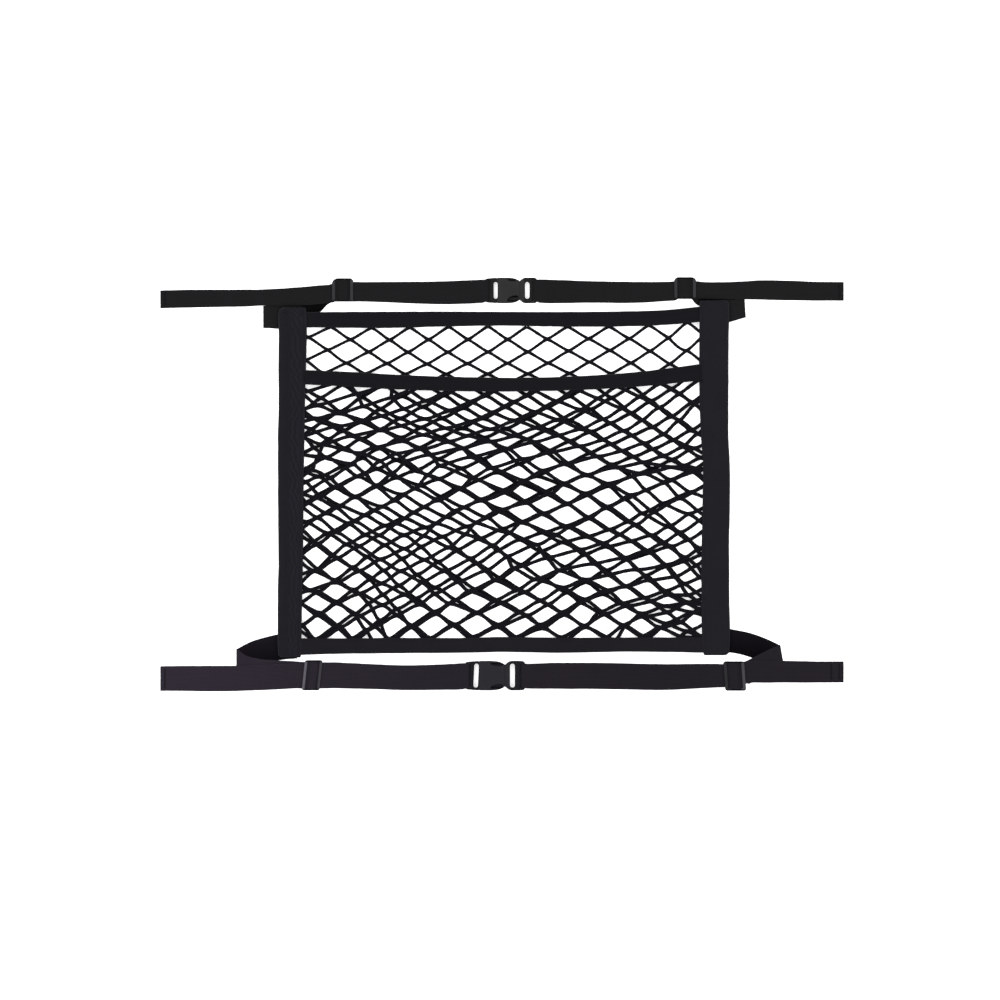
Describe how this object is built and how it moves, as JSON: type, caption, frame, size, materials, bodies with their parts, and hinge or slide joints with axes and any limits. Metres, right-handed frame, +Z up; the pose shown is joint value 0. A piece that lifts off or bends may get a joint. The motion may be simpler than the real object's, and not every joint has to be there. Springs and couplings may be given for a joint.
{
  "type": "car seat storage net",
  "caption": "Framed elastic net panel with a slack net pocket, taped edges and side bands, and buckled webbing straps above and below to hang it on a seat back.",
  "frame": {"origin": "middle of the laid-out net and its straps, on the surface they lie on", "axes": "+X to the right along the straps, +Y to the panel's top edge, +Z up off the surface, towards the side the pocket is on"},
  "size_m": [0.6956, 0.4225, 0.0133],
  "materials": {
    "tape": "black ribbed binding tape, matt",
    "net": "black knitted elastic cord, matt",
    "webbing_upper": "black woven webbing, matt",
    "webbing_lower": "black woven webbing with a slight sheen",
    "plastic": "black moulded plastic, satin"
  },
  "bodies": {
    "root": {"side_band_left": "tape", "side_band_right": "tape", "top_hem": "tape", "pocket_hem": "tape", "bottom_hem": "tape", "back_net": "net", "front_net": "net", "strap_upper_left": "webbing_upper", "strap_upper_right": "webbing_upper", "strap_lower_left": "webbing_lower", "strap_lower_right": "webbing_lower", "slider_upper_left": "plastic", "slider_upper_right": "plastic", "slider_lower_left": "plastic", "slider_lower_right": "plastic", "buckle_upper_socket": "plastic", "buckle_upper_plug": "plastic", "buckle_lower_socket": "plastic", "buckle_lower_plug": "plastic"}
  },
  "joints": []
}
